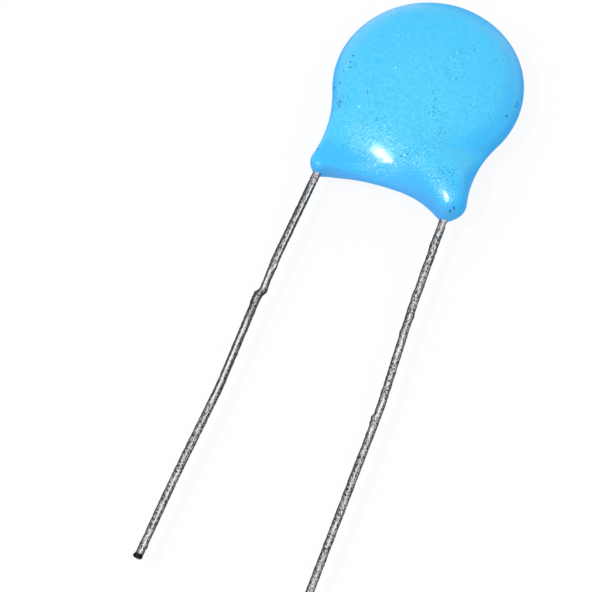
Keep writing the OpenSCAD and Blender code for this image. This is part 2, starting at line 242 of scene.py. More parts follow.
class Plan:
    """Where the feet, necks, elbows and seats lie, seen along the disc's axis."""

    def __init__(self, coat, leads):
        self.coat, self.leads = coat, leads
        self.middle = coat.thickness / 2
        self.foot_radius, self.neck_radius = sided(coat, "foot"), sided(coat, "neck")
        self.foot_width = {s: coat.foot_rounding * self.foot_radius[s] for s in SIDES}
        self.skirt, self.ridge_drop = sided(coat, "skirt"), sided(coat, "ridge_drop")
        self.splay = sided(leads, "splay")
        foot_drop, foot_inset, toe_run = sided(coat, "drop"), sided(coat, "inset"), sided(coat, "toe")
        door_drop = sided(leads, "door")
        self.crest = Vector((coat.arch_side, -coat.arch_drop))
        self.foot, self.neck, self.exit, self.arch, self.arch_radius = {}, {}, {}, {}, {}
        self.elbow, self.seat, self.toe = {}, {}, {}
        rise = 2 * leads.bend * (1 - cos(leads.climb))
        self.climb_run = (leads.seat_height - rise) / sin(leads.climb)
        climb_reach = 2 * leads.bend * sin(leads.climb) + self.climb_run * cos(leads.climb)
        elbow_reach = leads.bend * tan(leads.slant / 2)
        seat_reach = elbow_reach + leads.slant_run + climb_reach
        for s in SIDES:
            x, r = leads.shift + s * leads.pitch / 2, self.foot_radius[s]
            self.foot[s] = Vector((x - s * foot_inset[s], -foot_drop[s]))
            self.exit[s] = Vector((x, -door_drop[s]))
            self.neck[s] = meet(Vector((0, 0)), coat.rim_radius + self.neck_radius[s],
                                self.foot[s], r + self.neck_radius[s], s)
            d = self.foot[s] - self.crest
            self.arch_radius[s] = (d.length_squared - r * r) / (2 * (r - d.y))
            self.arch[s] = self.crest - Vector((0, self.arch_radius[s]))
            self.elbow[s] = self.exit[s] + (leads.foot_run + elbow_reach) * self.inward(s, 0)
            self.seat[s] = self.elbow[s] + seat_reach * self.inward(s, leads.slant)
            self.toe[s] = self.foot[s] - toe_run[s] * self.inward(s, coat.toe_turn)

    def inward(self, side, turn):
        """The way up a lead into the coat, turned towards the disc's middle."""
        return Vector((-side * sin(self.splay[side] + turn), cos(self.splay[side] + turn)))

    def height(self, x, y, face):
        """Height of a face over the middle plane.

        The flat, the skirt and both leads hold the skin up together.
        """
        coat = self.coat
        out = hypot(x, y) - coat.flat_radius
        fall = (out + sqrt(out * out + coat.flat_blend ** 2)) / 2
        skirt, ridge = self.skirt[face], LEAST_DEPTH
        depths = [fall * fall / (2 * coat.shoulder_radius) + LEAST_DEPTH, self.middle - skirt]
        for side in SIDES:
            a, b = self.toe[side] if side == face else self.foot[side], self.seat[side]
            wx, wy = b.x - a.x, b.y - a.y
            t = max(0.0, min(1.0, ((x - a.x) * wx + (y - a.y) * wy) / (wx * wx + wy * wy)))
            off = hypot(x - a.x - t * wx, y - a.y - t * wy)
            if side == face:
                ridge += self.ridge_drop[face] * (1 - t) ** RIDGE_RISE + off * off / (2 * coat.ridge_round)
            else:
                depths.append(self.middle - mix(coat.swell_height, skirt, ease(SWELL_FALL * t))
                              + off * off / (2 * coat.swell_round))
        base = soft_least(depths, coat.skirt_flow)
        return self.middle - soft_least([base, ridge], coat.ridge_flow)


# ---- the coat's skin: stations around its outline, and rings over its rim and across its faces

# Stations along the disc, a neck, a foot and half of the arch, and rings from the edge to a face's middle
DISC_STEPS, NECK_STEPS, FOOT_STEPS, ARCH_STEPS = 180, 60, 48, 36
RIM_STEPS, FACE_STEPS, MIDDLE_STEPS = 16, 36, 8
# The still middle of a face, inside which the rings are round: its share of the flat's radius, and the
# shares of the turn from neck to neck that a neck and a foot take along its edge
STILL_SHARE, NECK_SHARE, FOOT_SHARE = 0.6, 0.33, 0.07
# Lengths of the waves in the skin, and how high the short ones are against the long ones
LONG_WAVE, SHORT_WAVE, HAMMER_WAVE, SHORT_SHARE = 2.6 * MM, 0.9 * MM, 0.3 * MM, 0.35
# Height over the flat that the part lies on at which the rear face gets its waves in full
CALM = 0.8 * MM


def arc(centre, radius, start, end, hand, width0, width1, count):
    """Stations along an arc: point, outward normal and width of the rounding."""
    for i in range(count):
        t = i / count
        n = polar(1, start + sweep(start, end, hand) * t)
        yield centre + radius * n, hand * n, mix(width0, width1, ease(t))


def outline(plan):
    """Stations around the coat: the disc, then the rear foot, the arch and the front foot."""
    coat, zero = plan.coat, Vector((0, 0))
    front, rear = plan.neck[FRONT], plan.neck[REAR]
    foot, arch, wide = plan.foot, plan.arch, plan.foot_width
    rim, skirt, low = coat.rim_rounding, coat.skirt_rounding, pi / 2
    return [
        *arc(zero, coat.rim_radius, bearing(front), bearing(rear), 1, rim, rim, DISC_STEPS),
        *arc(rear, coat.rear_neck, bearing(-rear), bearing(foot[REAR] - rear), -1,
             rim, wide[REAR], NECK_STEPS),
        *arc(foot[REAR], coat.rear_foot, bearing(rear - foot[REAR]), bearing(arch[REAR] - foot[REAR]), 1,
             wide[REAR], wide[REAR], FOOT_STEPS),
        *arc(arch[REAR], plan.arch_radius[REAR], bearing(foot[REAR] - arch[REAR]), low, -1,
             wide[REAR], skirt, ARCH_STEPS),
        *arc(arch[FRONT], plan.arch_radius[FRONT], low, bearing(foot[FRONT] - arch[FRONT]), -1,
             skirt, wide[FRONT], ARCH_STEPS),
        *arc(foot[FRONT], coat.front_foot, bearing(arch[FRONT] - foot[FRONT]),
             bearing(front - foot[FRONT]), 1, wide[FRONT], wide[FRONT], FOOT_STEPS),
        *arc(front, coat.front_neck, bearing(foot[FRONT] - front), bearing(-front), -1,
             wide[FRONT], rim, NECK_STEPS),
    ]


def still_edge(plan):
    """The stations brought in to the still middle of a face, with a share of the turn for each stretch."""
    rear = bearing(plan.neck[REAR])
    turn = sweep(rear, bearing(plan.neck[FRONT]), 1)
    front, neck = rear + turn, NECK_SHARE * turn
    foot = neck + FOOT_SHARE * turn
    spans = [(front, rear + 2 * pi, DISC_STEPS), (rear, rear + neck, NECK_STEPS),
             (rear + neck, rear + foot, FOOT_STEPS), (rear + foot, rear + turn / 2, ARCH_STEPS),
             (rear + turn / 2, front - foot, ARCH_STEPS), (front - foot, front - neck, FOOT_STEPS),
             (front - neck, front, NECK_STEPS)]
    radius = STILL_SHARE * plan.coat.flat_radius
    return [polar(radius, mix(a, b, i / count)) for a, b, count in spans for i in range(count)]


def skin_mesh(plan):
    """The coat as one closed skin, with the slow ripple that dipping leaves."""
    coat = plan.coat
    stations, still = outline(plan), still_edge(plan)
    n = len(stations)
    last = RIM_STEPS + FACE_STEPS + MIDDLE_STEPS
    points, faces = [], []

    def creep(p, normal, over):
        """How far a point of the edge is drawn out where the resin creeps along a lead."""
        drawn = Vector((0, 0, 0))
        for side in SIDES:
            out = -plan.inward(side, 0)
            off = (p - plan.exit[side]).cross(out) / coat.meniscus_width
            pull = coat.meniscus * exp(-off * off) * ease(normal.dot(out)) * cos(over)
            drawn += pull * Vector((*out, 0))
        return drawn

    def place(p, normal, over, face):
        """A point of the skin over a point of the plan, with the waves in it."""
        z = face * plan.height(p.x, p.y, face) * sin(over)
        at = Vector((p.x, p.y, z + plan.middle)) + creep(p, normal, over)
        lean = Vector((normal.x * cos(over), normal.y * cos(over), face * sin(over)))
        wave = coat.ripple * (noise.noise(at / LONG_WAVE) + SHORT_SHARE * noise.noise(at / SHORT_WAVE))
        wave += coat.hammer * noise.noise(at / HAMMER_WAVE)
        return at + lean * wave * (1.0 if face == FRONT else ease(at.z / CALM))

    def ring(k, face):
        """One ring of points. The rings go over the rim, across the face and then in to its middle."""
        over = pi / 2 * min(k / RIM_STEPS, 1)
        for (p, normal, width), inner in zip(stations, still):
            if k <= RIM_STEPS:
                p = p - normal * (width * (1 - cos(over)))
            elif k <= RIM_STEPS + FACE_STEPS:
                p = mix(p - normal * width, inner, (k - RIM_STEPS) / FACE_STEPS)
            else:
                p = inner * (1 - (k - RIM_STEPS - FACE_STEPS) / MIDDLE_STEPS)
            yield place(p, normal, over, face)

    start = {}
    for face in SIDES:
        for k in range(0 if face == FRONT else 1, last):
            start[face, k] = len(points)
            points.extend(ring(k, face))
        start[face, last] = len(points)
        points.append(place(Vector((0, 0)), Vector((0, 0)), pi / 2, face))
    start[REAR, 0] = start[FRONT, 0]
    for face in SIDES:
        for k in range(last):
            for i in range(n):
                j = (i + 1) % n
                a, b = start[face, k] + i, start[face, k] + j
                c, d = start[face, k + 1] + j, start[face, k + 1] + i
                corners = (a, b, start[face, last]) if k == last - 1 else (a, b, c, d)
                faces.append(corners if face == FRONT else corners[::-1])
    return points, faces


# ---- the leads

WIRE_SIDES = 40
# Run between a wire's rings, outside the coat and hidden in it, and the fewest rings in a bend
RING_STEP, HIDDEN_STEP, BEND_STEPS = 0.08 * MM, 0.24 * MM, 4
# The wire's ends on its map: the middle and the size of a narrow strip across it
CAP_MIDDLE, CAP_SIZE = 0.5, 0.1
# Run outside the coat over which the wear sets in, and run before the tip that the cutter has squeezed
WEAR_RUN, SHEAR_RUN = 0.6 * MM, 0.3 * MM
# How far the cutter brings down the wire's top, and how much rougher it leaves the tip
SHEAR_FALL, SHEAR_WEAR = 0.85, 2
# Waves of the wear: height against the whole, and how fine. They are drawn out along the wire, and a
# shift between the leads makes them differ.
WEAR_WAVES, WEAR_DRAW, WEAR_SHIFT = ((0.35, 1.7), (0.9, 3.6)), 0.35, 40
# Bends that handling has left in each lead: length before the bend, turn towards +X, bend radius
KINKS = {
    FRONT: [(7.8, 1.9, 20), (6.8, -3.2, 20)],
    REAR: [(7.9, 3.9, 1.5), (2, -13.2, 1), (0.8, 12, 1), (7, -3.2, 20), (7, 1.3, 20)],
}
# Marks of pliers and of the cutter: distance from the coat, half its length, how much wider the wire
# gets there, how much taller, and how far it bulges towards +X
MARKS = {
    FRONT: [(2.3, 0.5, 0.06, -0.03, -0.02), (4.5, 0.5, 0.05, -0.05, -0.02), (6.7, 0.4, 0.06, -0.04, -0.03),
            (8.4, 0.35, 0.06, -0.04, 0.03), (9.7, 0.3, 0.05, -0.02, -0.02), (16.95, 0.18, 0.2, -0.06, -0.05),
            (17.35, 0.15, 0.12, -0.05, -0.04), (33.4, 0.2, 0.1, 0, 0)],
    REAR: [(8.2, 0.3, 0.06, -0.08, 0.04), (9.3, 0.8, -0.1, 0.04, 0.01), (10.35, 0.25, 0.04, -0.05, 0.05),
           (10.8, 0.2, 0.16, -0.1, -0.08), (11.4, 0.3, 0.08, -0.05, -0.03), (32.4, 0.2, 0.06, 0, 0.02),
           (33.3, 0.15, 0.12, 0, -0.03)],
}


class Walk:
    """A walk along a wire that keeps each point, its heading and its distance from the coat."""

    def __init__(self, at, heading, step):
        self.at, self.heading, self.gone, self.step = at, heading, 0.0, step
        self.trail = [(at.copy(), heading.copy(), 0.0)]

    def run(self, distance):
        count = max(1, ceil(distance / self.step))
        for _ in range(count):
            self.at = self.at + self.heading * (distance / count)
            self.gone += distance / count
            self.trail.append((self.at.copy(), self.heading.copy(), self.gone))

    def turn(self, towards, by, radius):
        count = max(BEND_STEPS, ceil(radius * by / self.step))
        centre, start = self.at + radius * towards, self.heading.copy()
        for i in range(1, count + 1):
            a = by * i / count
            self.heading = start * cos(a) + towards * sin(a)
            self.at = centre - radius * (towards * cos(a) - start * sin(a))
            self.gone += radius * by / count
            self.trail.append((self.at.copy(), self.heading.copy(), self.gone))


def lead_trail(plan, side):
    """The wire's middle line, from its end on the electrode to its cut tip."""
    leads, up = plan.leads, Vector((0, 0, side))
    door = Vector((*plan.exit[side], plan.middle))
    inside = Walk(door, Vector((*plan.inward(side, 0), 0)), HIDDEN_STEP)
    inside.run(leads.foot_run)
    h = inside.heading
    inside.turn(Vector((-side * h.y, side * h.x, 0)), leads.slant, leads.bend)
    inside.run(leads.slant_run)
    level = inside.heading.copy()
    inside.turn(up, leads.climb, leads.bend)
    inside.run(plan.climb_run)
    inside.turn(up * cos(leads.climb) * -1 + level * sin(leads.climb), leads.climb, leads.bend)
    inside.run(leads.seat_run)

    outside = Walk(door, Vector((*-plan.inward(side, 0), 0)), RING_STEP)
    for before, degrees_on, radius in KINKS[side]:
        outside.run(before * MM)
        h, hand = outside.heading, 1 if degrees_on > 0 else -1
        outside.turn(hand * Vector((-h.y, h.x, 0)), radians(abs(degrees_on)), radius * MM)
    outside.run(leads.reach - outside.gone)
    return [(p, -h, -s) for p, h, s in reversed(inside.trail[1:])] + outside.trail


def wire_mesh(plan, side):
    """A drawn wire with dents, burrs and a sheared tip. Its map runs around and along the wire."""
    leads, n = plan.leads, WIRE_SIDES
    radius, girth, tip = leads.wire / 2, pi * leads.wire, leads.reach
    trail = lead_trail(plan, side)
    points, faces, around = [], [], []
    for p, heading, s in trail:
        across = Vector((-heading.y, heading.x, 0)).normalized()
        above = heading.cross(across)
        wide, tall, lean = 1.0, 1.0, 0.0
        outside = ease(s / WEAR_RUN)
        for at, half, wider, taller, to_x in MARKS[side]:
            near = exp(-((s / MM - at) / half) ** 2)
            wide, tall, lean = wide + wider * near, tall + taller * near, lean + to_x * near
        shear = ease((s - tip + SHEAR_RUN) / SHEAR_RUN)
        for i in range(n):
            a = 2 * pi * i / n
            spot = Vector((cos(a), sin(a), s / radius * WEAR_DRAW + side * WEAR_SHIFT))
            rough = sum(height * noise.noise(spot * fine) for height, fine in WEAR_WAVES)
            r = radius + leads.wear * rough * outside * (1 + SHEAR_WEAR * shear)
            rise = sin(a) * tall * (1 - SHEAR_FALL * shear * (sin(a) > 0))
            points.append(p + across * (r * wide * cos(a) + lean * MM) + above * (r * rise))
    for k in range(len(trail) - 1):
        v0, v1 = trail[k][2] / girth, trail[k + 1][2] / girth
        for i in range(n):
            j = (i + 1) % n
            faces.append((k * n + i, k * n + j, (k + 1) * n + j, (k + 1) * n + i))
            around += [(i / n, v0), ((i + 1) / n, v0), ((i + 1) / n, v1), (i / n, v1)]
    end = (len(trail) - 1) * n
    for cap, s in ((tuple(range(n))[::-1], trail[0][2]), (tuple(range(end, end + n)), trail[-1][2])):
        faces.append(cap)
        around += [(CAP_MIDDLE + CAP_SIZE * cos(2 * pi * i / n), s / girth) for i in range(n)]
    return points, faces, around


def make_piece(name, points, faces, node, around=None):
    """A smooth-shaded piece that rides on the part and stands for a node."""
    mesh = bpy.data.meshes.new(name)
    mesh.from_pydata([tuple(p) for p in points], [], faces)
    if around:
        layer = mesh.uv_layers.new(name="wire_map")
        for spot, uv in zip(layer.data, around):
            spot.uv = uv
    mesh.validate()
    mesh.shade_smooth()
    piece = bpy.data.objects.new(name, mesh)
    bpy.context.scene.collection.objects.link(piece)
    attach(piece, "root")
    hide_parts(node)
    return piece


# ---- shader maths

class Signal:
    """A socket that takes part in Python's arithmetic."""

    def __init__(self, finish, socket):
        self.finish, self.socket = finish, socket

    def __add__(self, other): return self.finish.maths("ADD", self, other)
    def __radd__(self, other): return self.finish.maths("ADD", other, self)
    def __sub__(self, other): return self.finish.maths("SUBTRACT", self, other)
    def __rsub__(self, other): return self.finish.maths("SUBTRACT", other, self)
    def __mul__(self, other): return self.finish.maths("MULTIPLY", self, other)
    def __rmul__(self, other): return self.finish.maths("MULTIPLY", other, self)
    def __abs__(self): return self.finish.maths("ABSOLUTE", self)

    def least(self, other): return self.finish.maths("MINIMUM", self, other)
    def most(self, other): return self.finish.maths("MAXIMUM", self, other)

    def step(self, low, high):
        """0 at low and 1 at high, with a smooth way between. It may fall as well as rise."""
        return self.finish.node("ShaderNodeMapRange", {"interpolation_type": "SMOOTHSTEP", "clamp": True},
                                {"Value": self, "From Min": low, "From Max": high})


class Finish:
    """The nodes of a material or of the world."""

    def __init__(self, owner):
        owner.use_nodes = True
        self.owner, self.tree = owner, owner.node_tree
        self.tree.nodes.clear()

    def node(self, kind, setup=None, inputs=None, output=0):
        """Adds a node: its settings first, then values or links for its sockets.

        Gives one output, if it has any.
        """
        made = self.tree.nodes.new(kind)
        for key, value in (setup or {}).items():
            setattr(made, key, value)
        for key, value in (inputs or {}).items():
            self.feed(self.find(made.inputs, key), value)
        return Signal(self, self.find(made.outputs, output)) if made.outputs else None

    @staticmethod
    def find(sockets, key):
        """A socket by its number, its identifier or its name."""
        if isinstance(key, int):
            return sockets[key]
        return next(s for s in sockets if key in (s.identifier, s.name))

    def feed(self, socket, value):
        if isinstance(value, Signal):
            self.tree.links.new(value.socket, socket)
        elif socket.type == "RGBA":
            socket.default_value = (*value, 1)
        else:
            socket.default_value = value

    def maths(self, operation, *values):
        return self.node("ShaderNodeMath", {"operation": operation}, dict(enumerate(values)))

    def blend(self, a, b, weight):
        return self.node("ShaderNodeMix", {"data_type": "RGBA"},
                         {"Factor_Float": weight, "A_Color": a, "B_Color": b}, "Result_Color")

    def vectors(self, operation, *values, output=0):
        return self.node("ShaderNodeVectorMath", {"operation": operation}, dict(enumerate(values)), output)

    def place(self):
        """Position on the part, in millimetres."""
        here = self.node("ShaderNodeTexCoord", output="Object")
        return self.vectors("MULTIPLY", here, (1 / MM,) * 3)

    def parts(self, vector):
        """The three parts of a vector."""
        split = self.node("ShaderNodeSeparateXYZ", inputs={0: vector}).socket.node
        return [Signal(self, s) for s in split.outputs]

    def grain(self, vector, per_unit, detail=2.0, roughness=0.5):
        return self.node("ShaderNodeTexNoise", inputs={"Vector": vector, "Scale": per_unit, "Detail": detail,
                                                       "Roughness": roughness})

    def cells(self, vector, per_unit):
        """Distance to the middle of the nearest of some scattered cells."""
        return self.node("ShaderNodeTexVoronoi", {"feature": "F1"},
                         {"Vector": vector, "Scale": per_unit, "Randomness": 1.0}, "Distance")

    def nearest(self, place, spots, ragged):
        """Distance to the nearest of some spots in the plan, with a ragged edge."""
        least = None
        for x, y in spots:
            d = self.vectors("DISTANCE", place, (x, y, 0), output="Value")
            least = d if least is None else least.least(d)
        return least + ragged

    def bump(self, height, distance, strength=1.0, under=None):
        inputs = {"Height": height, "Distance": distance, "Strength": strength}
        if under:
            inputs["Normal"] = under
        return self.node("ShaderNodeBump", inputs=inputs)

    def surface(self, inputs):
        shader = self.node("ShaderNodeBsdfPrincipled", inputs=inputs)
        self.node("ShaderNodeOutputMaterial", inputs={"Surface": shader})
        return self.owner


def new_finish(name):
    return Finish(bpy.data.materials.new(name))


# Larger pin holes, and pale blisters whose pale colour is a painted glint over a small bump, on the front
# face, in millimetres from the disc's axis
PIN_HOLES = [(6.75, 0.65), (6.7, 0.35), (6.41, -0.79), (-5.75, -0.3), (-5.75, -0.85), (-5.6, -1.25),
             (-6.35, -2.7), (-6.0, -2.45), (-5.45, -3.9), (-5.42, -4.12), (-5.3, -4.35), (-5.73, -7.53),
             (-5.6, -8.0), (5.28, -9.55), (5.48, -9.3), (-3.62, -2.94), (0.45, -6.8), (0.85, -6.6)]
BLISTERS = [(-2.39, -0.37), (-3.83, -4.23), (-1.45, -5.13), (0.65, -6.7)]
# Patches of dusty pin holes with painted glints between them: place and radius in millimetres, and how
# strongly they show
DUST_AND_GLINT_PATCHES = [((1.6, 2.0), 1.2, 1.0), ((1.9, 0.7), 1.1, 1.0), ((1.0, -1.5), 0.9, 1.0),
         ((1.6, -2.7), 1.1, 1.0), ((2.6, -4.4), 1.0, 1.0), ((-5.9, -1.2), 1.0, 1.0),
         ((-5.5, -4.0), 1.0, 1.0), ((-2.6, -3.0), 2.2, 0.3), ((-1.6, -5.6), 2.6, 0.65),
         ((1.2, -6.2), 2.2, 0.7), ((4.2, -7.4), 1.5, 0.9), ((5.4, -1.6), 0.8, 0.6)]
# Cells per millimetre of the two speckles: dark pin holes, and painted glints between them
DUST_CELLS, GLINT_CELLS = 4.4, 4.9
# Middle of the painted light on the face, where the colour is palest, in millimetres
PAINTED_LIGHT_MIDDLE = (-0.6, -3.0, 0)
# Stretches over which the colour's painted shade or the gloss changes, each from none to full, in
# millimetres:
# outwards from the disc's axis, outwards from the palest place, up towards +Y, and right towards +X
RIM_OUT, RIM_UP, RIM_RIGHT = (4.7, 6.5), (-6.5, -3.5), (-6, 1)
LIGHT_FALLOFF_OUT, LOW_EDGE_UP, TOP_EDGE_UP, DULL_UP = (1.5, 7.5), (-6.3, -7.7), (5.6, 6.9), (4.8, 6.6)
BRINK_OUT, BRINK_UP = (6.55, 6.9), (-5.0, -3.0)
# The same for the slope of the skin: how far it faces along the disc's axis, and how far it leans to +Y
TURNED_AWAY, BRINK_AWAY, FACING_ON, LEANING_DOWN = (0.92, 0.4), (0.45, 0.2), (0.35, 0.85), (-0.45, -0.95)
# Height at which the front face's own marks begin, as a share of the thickness
FRONT_SHARE = (0.5, 0.6)


def epoxy(coat):
    """Dipped and cured epoxy: satin gloss with orange peel, pin holes, pale blisters and painted glints, and
    painted shade as deeper blue over the edges.
    """
    f = new_finish("dipped_epoxy")
    place = f.place()
    x, y, z = f.parts(place)
    plan_place = f.node("ShaderNodeCombineXYZ", inputs={"X": x, "Y": y})
    _, lean, facing = f.parts(f.node("ShaderNodeNewGeometry", output="Normal"))
    facing = abs(facing)
    front = z.step(*(coat.thickness / MM * part for part in FRONT_SHARE))

    # Painted shade: how far each place has gone over to the deeper blue of the edges, more so on the right,
    # along the lower and top edges and away from the palest place
    out = f.vectors("LENGTH", plan_place, output="Value")
    rim = out.step(*RIM_OUT) * y.step(*RIM_UP) * (x.step(*RIM_RIGHT) * 0.5 + 0.4)
    # Painted light: pale at the middle of the painted light, deeper blue further from it
    painted_falloff = f.vectors("DISTANCE", plan_place, PAINTED_LIGHT_MIDDLE, output="Value").step(*LIGHT_FALLOFF_OUT) * 0.42
    edge = facing.step(*TURNED_AWAY).most(rim).most(painted_falloff)
    edge = edge.most(y.step(*LOW_EDGE_UP) * 0.8).most(y.step(*TOP_EDGE_UP))
    # Painted shade: a dark line along the outline
    brink = (out.step(*BRINK_OUT) * y.step(*BRINK_UP)).most(facing.step(*BRINK_AWAY))

    # A mottle of two blues, and the painted shade over it
    cloud = f.grain(place, 0.55, 3.0)
    fine = f.grain(place, 7.5, 2.0).step(0.36, 0.64)
    mottle = f.grain(place, 3.0, 2.0).step(0.34, 0.66)
    pale, deep = ([max(0, min(1, c + way * stray)) for c, stray in zip(coat.face_blue, coat.grain)]
                  for way in (1, -1))
    tone = f.blend(deep, pale, fine * 0.55 + mottle * 0.45)
    # Painted shade: the mottle goes over to the deeper blue of the edges
    tone = f.blend(tone, coat.painted_edge_shade, (edge + (cloud - 0.5) * 0.3).most(0).least(1))
    tone = f.blend(tone, coat.painted_brink_shade, brink * 0.45)
    # Painted shade and reflection where the skin leans down
    tone = f.blend(tone, coat.under_shade_and_reflection, lean.step(*LEANING_DOWN))

    # Pin holes, blisters, and patches of dust and of painted glints
    size = coat.pit_size / MM
    ragged = (f.grain(place, 9.0, 1.0) - 0.5) * 0.1
    holes = f.nearest(plan_place, PIN_HOLES, ragged).step(size * 1.2, size * 0.6) * front
    blisters = f.nearest(plan_place, BLISTERS, ragged).step(size * 1.6, size * 0.6) * front
    dust_and_glints = f.grain(place, 0.8, 1.0).step(0.66, 0.74) * 0.8
    for (px, py), radius, show in DUST_AND_GLINT_PATCHES:
        away = f.vectors("DISTANCE", plan_place, (px, py, 0), output="Value")
        dust_and_glints = dust_and_glints.most(away.step(radius, radius * 0.3) * show)
    dust, painted_glints = (f.cells(place, per_mm).step(0.36, 0.2) * dust_and_glints for per_mm in (DUST_CELLS, GLINT_CELLS))
    pits = holes.most(dust * 0.7)
    # Painted glints: pale dots over the blisters and between the pin holes
    tone = f.blend(tone, coat.blister_and_glint_blue, blisters.most(painted_glints * 0.5))
    tone = f.blend(tone, coat.pit_blue, pits)

    # Orange peel, and a gloss that dulls where the skin turns away
    peel = f.grain(place, MM / coat.peel_size, 2.0, 0.55)
    skin = f.bump(peel, coat.peel, 1.0)
    skin = f.bump(blisters - pits, 0.03 * MM, 0.6, under=skin)
    level = facing.step(*FACING_ON) * (1 - y.step(*DULL_UP) * 0.9)
    rough = coat.satin + (cloud - 0.5) * 0.1 + pits * 0.3 + (1 - level) * 0.55
    clear = coat.clear * (level * 0.85 + 0.15) * (fine * 0.6 + 0.6) * (1 - pits)
    return f.surface({"Base Color": tone, "Roughness": rough, "Normal": skin, "Specular IOR Level": 0.5,
                      "Coat Weight": clear, "Coat Roughness": coat.clear_satin, "Coat IOR": 1.6})


# Painted highlights: bright streaks along the top of each lead, in millimetres from the coat: where each
# begins and ends, its turn towards +X and its width in degrees, and how bright it is
PAINTED_STREAKS = {
    FRONT: [(0.1, 1.2, 4, 14, 0.7), (1.4, 9.8, 2, 8, 0.6), (9.9, 12.1, -3, 14, 1.0),
            (15.2, 17.0, -2, 14, 1.0), (17.6, 18.8, -6, 13, 1.0), (19.2, 24.4, 2, 9, 0.8),
            (25.6, 26.7, 0, 12, 1.0), (27.0, 27.8, 0, 13, 1.0), (28.1, 33.0, 3, 22, 0.4)],
    REAR: [(0.6, 8.0, 17, 9, 1.0), (8.1, 8.7, 20, 14, 1.0), (8.6, 10.4, -10, 15, 1.0),
           (12.9, 20.4, -8, 14, 1.0), (21.0, 26.0, 2, 8, 0.7), (26.0, 33.2, 6, 10, 0.95)],
}
# How bright the painted lit band along the top of each lead is, how much brighter it gets further out, and
# where that sets in
PAINTED_BAND_LIGHT, FURTHER_OUT = {FRONT: (0.42, 0.0), REAR: (0.16, 0.25)}, (19.5, 21)
# Stretches from the coat over which the tint of the hot dip and its specks fade, and how far before the
# tip the sheared end begins, in millimetres
SCORCHED, SPECKED, SHEARED = (1.4, 0.3), (1.8, 0.6), (0.28, 0.2)


def tinned_wire(leads, side):
    """Drawn wire with a rough tin coat and painted light: streaks and a lit band on top as painted
    highlights, dark flanks as painted shade, hammered grain between them.
    """
    f = new_finish("front_tin" if side == FRONT else "rear_tin")
    wire_map = f.node("ShaderNodeUVMap", {"uv_map": "wire_map"})
    turn, along, _ = f.parts(wire_map)
    run, turn = along * (pi * leads.wire / MM), turn * (2 * pi)
    round_x, round_y = f.maths("COSINE", turn), f.maths("SINE", turn)

    def draw(across, lengthwise, detail=2.0, shift=0.0):
        """Grain so many times finer than the wire's radius across, and so many cells a millimetre along."""
        at = f.node("ShaderNodeCombineXYZ", inputs={"X": round_x * across, "Y": round_y * across,
                                                    "Z": run * lengthwise + (shift + 9 * side)})
        return f.grain(at, 1.0, detail, 0.6)

    def near(lean):
        """1 along the line at a turn from the painted highlight line towards +X, and along the line below it;
        0 midway.
        """
        return abs(f.maths("COSINE", turn - (pi / 2 - leads.painted_highlight_line) + lean))

    speckle, streak, drift = draw(3.4, 6.5, 2.0), draw(2.6, 1.2, 1.0, 20.0), draw(0.3, 0.7, 1.0, 50.0)
    crisp = speckle.step(0.43, 0.57)
    ragged = (speckle - 0.5) * 0.12 + (streak - 0.5) * 0.1
    wander = (drift - 0.5) * 0.5
    # Painted light: a lit band along the top and bottom of the wire; the flanks beside it keep the dark
    # painted shade
    painted_shading = (near(wander * 0.5) + ragged).step(0.58, 0.84)
    # Painted highlight: a bright line along the top of the wire
    painted_highlight_line = (near(wander) + ragged).step(0.9, 0.99)

    # Painted light: a lit band and a bright line along the top and bottom, and the painted streaks over them
    light, more = PAINTED_BAND_LIGHT[side]
    painted_shine = painted_shading * crisp * (run.step(*FURTHER_OUT) * more + light) + painted_highlight_line * (crisp * 0.36 + 0.05)
    for begin, end, lean, width, bright in PAINTED_STREAKS[side]:
        there = run.step(begin - 0.25, begin + 0.25) * run.step(end + 0.25, end - 0.25)
        strip = near(wander * 0.25 + radians(lean)) + ragged * 0.45
        strip = strip.step(cos(radians(width * 1.5)), cos(radians(width * 0.5)))
        painted_shine = painted_shine.most(strip * there * (crisp * 0.3 + 0.7) * bright)

    # The tin between painted shade and painted highlights, the tint of the hot dip beside the coat, and the
    # cut end painted near black as shade
    tone = f.blend(leads.painted_shading, leads.tin, painted_shine)
    tone = f.blend(tone, leads.scorch, run.step(*SCORCHED) * (crisp * 0.5 + 0.15) * painted_shading)
    specks = speckle.step(0.56, 0.62) * run.step(*SPECKED) * painted_shading
    tone = f.blend(tone, leads.tin, specks * 0.8)
    # Painted shade on the sheared end
    sheared = (run + (speckle - 0.5) * 0.4).step(*(leads.reach / MM - back for back in SHEARED))
    tone = f.blend(tone, leads.cut, sheared * (1 - crisp * 0.06))

    skin = f.bump(speckle, 0.03 * MM, 0.8)
    return f.surface({"Base Color": tone, "Metallic": 1.0, "Roughness": 0.42 - crisp * 0.15, "Normal": skin})


# Metals that the coat hides: bright and dark colour, patches per millimetre and roughness
SILVER = (0.82, 0.8, 0.76), (0.6, 0.57, 0.52), 5.0, 0.35
SOLDER = (0.66, 0.67, 0.69), (0.4, 0.41, 0.43), 3.0, 0.2
CERAMIC_PALE, CERAMIC_DARK, CERAMIC_SPECK = (0.62, 0.55, 0.43), (0.5, 0.43, 0.33), (0.3, 0.25, 0.2)


def plain_metal(name, bright, dark, per_mm, rough):
    """A matt metal layer with a fine mottle."""
    f = new_finish(name)
    mottle = f.grain(f.place(), per_mm, 3.0, 0.6)
    return f.surface({"Base Color": f.blend(bright, dark, mottle.step(0.35, 0.7)), "Metallic": 1.0,
                      "Roughness": rough + mottle * 0.2, "Normal": f.bump(mottle, 0.01 * MM, 0.6)})


